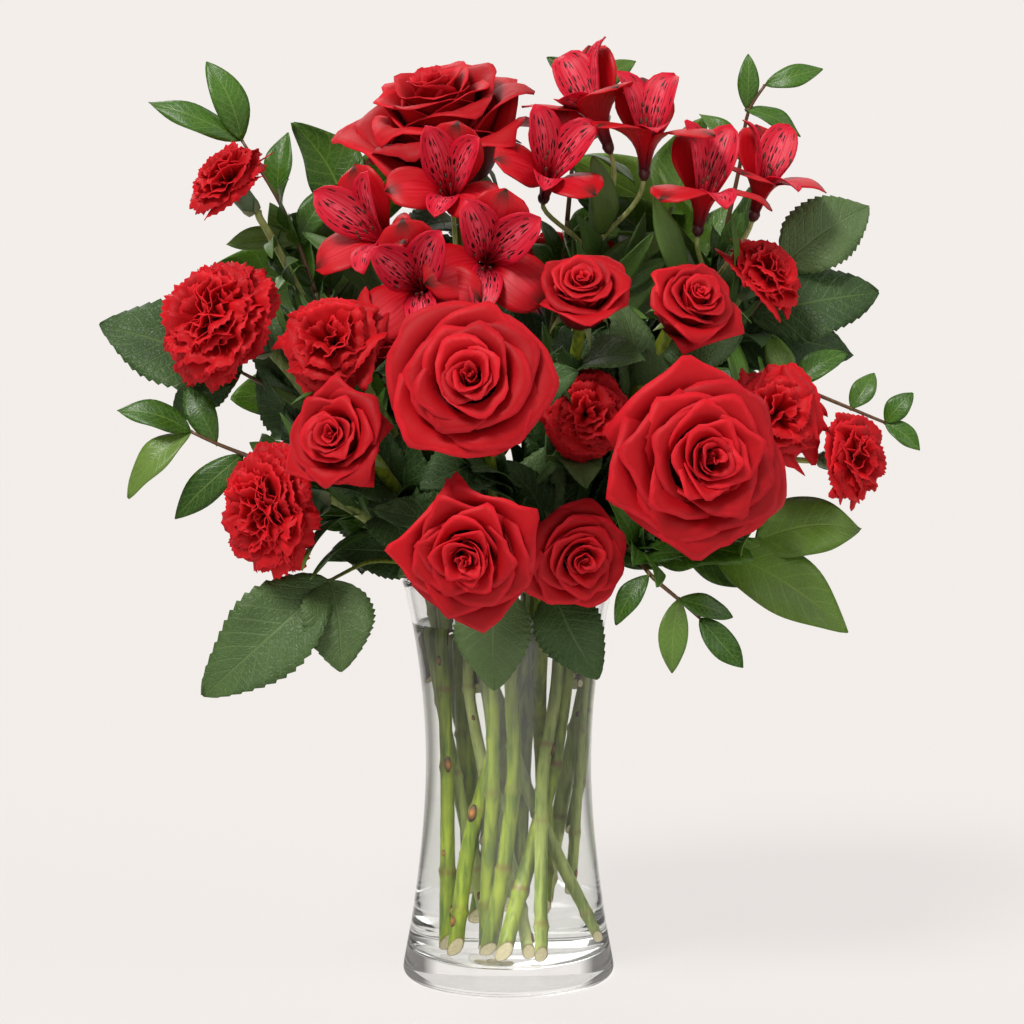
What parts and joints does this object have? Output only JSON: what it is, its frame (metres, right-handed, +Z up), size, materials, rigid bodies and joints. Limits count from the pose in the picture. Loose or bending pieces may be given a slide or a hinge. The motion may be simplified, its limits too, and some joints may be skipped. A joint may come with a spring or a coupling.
{
  "type": "bouquet of flowers in a vase",
  "caption": "Mixed bouquet of red roses, ruffled carnations and alstroemeria with leafy greens, held in a flared clear glass vase of water.",
  "frame": {"origin": "centre of the vase's flat underside, on the table", "axes": "+Z straight up the vase's axis, -Y towards the bouquet's front, +X to the viewer's right"},
  "size_m": [0.4097, 0.2537, 0.468],
  "materials": {
    "clear_glass": "clear polished",
    "water": "clear still liquid",
    "rose_petal": "velvety matte",
    "carnation_petal": "soft ruffled matte",
    "alstroemeria_petal": "satin with dark flecks",
    "rose_stem": "fresh green satin bark",
    "carnation_stem": "pale green satin with ring nodes",
    "alstroemeria_stem": "pale green satin",
    "small_leaf": "glossy leaf",
    "serrated_leaf": "matte leaf with pale veins",
    "broad_leaf": "glossy leathery leaf"
  },
  "bodies": {
    "root": {"alstroemeria_1": "alstroemeria_petal", "alstroemeria_2": "alstroemeria_petal", "alstroemeria_3": "alstroemeria_petal", "alstroemeria_4": "alstroemeria_petal", "alstroemeria_5": "alstroemeria_petal", "alstroemeria_6": "alstroemeria_petal", "alstroemeria_7": "alstroemeria_petal", "alstroemeria_8": "alstroemeria_petal", "alstroemeria_9": "alstroemeria_petal", "alstroemeria_stem_1": "alstroemeria_stem", "alstroemeria_stem_2": "alstroemeria_stem", "alstroemeria_stem_3": "alstroemeria_stem", "carnation_1": "carnation_petal", "carnation_2": "carnation_petal", "carnation_3": "carnation_petal", "carnation_4": "carnation_petal", "carnation_5": "carnation_petal", "carnation_6": "carnation_petal", "carnation_7": "carnation_petal", "carnation_8": "carnation_petal", "carnation_9": "carnation_petal", "carnation_stem_1": "carnation_stem", "carnation_stem_2": "carnation_stem", "carnation_stem_3": "carnation_stem", "carnation_stem_4": "carnation_stem", "carnation_stem_5": "carnation_stem", "carnation_stem_6": "carnation_stem", "carnation_stem_7": "carnation_stem", "carnation_stem_9": "carnation_stem", "glass_vase": "clear_glass", "huckleberry_spray_1": "small_leaf", "huckleberry_spray_2": "small_leaf", "huckleberry_spray_3": "small_leaf", "huckleberry_spray_4": "small_leaf", "huckleberry_spray_5": "small_leaf", "huckleberry_spray_6": "small_leaf", "rose_1": "rose_petal", "rose_2": "rose_petal", "rose_3": "rose_petal", "rose_4": "rose_petal", "rose_5": "rose_petal", "rose_6": "rose_petal", "rose_7": "rose_petal", "rose_8": "rose_petal", "rose_9": "rose_petal", "rose_stem_1": "rose_stem", "rose_stem_2": "rose_stem", "rose_stem_3": "rose_stem", "rose_stem_4": "rose_stem", "rose_stem_5": "rose_stem", "rose_stem_6": "rose_stem", "rose_stem_7": "rose_stem", "rose_stem_8": "rose_stem", "rose_stem_9": "rose_stem", "salal_spray_1": "broad_leaf", "salal_spray_2": "broad_leaf", "salal_spray_3": "broad_leaf", "serrated_leaf_spray_1": "serrated_leaf", "serrated_leaf_spray_2": "serrated_leaf", "water": "water"}
  },
  "joints": []
}
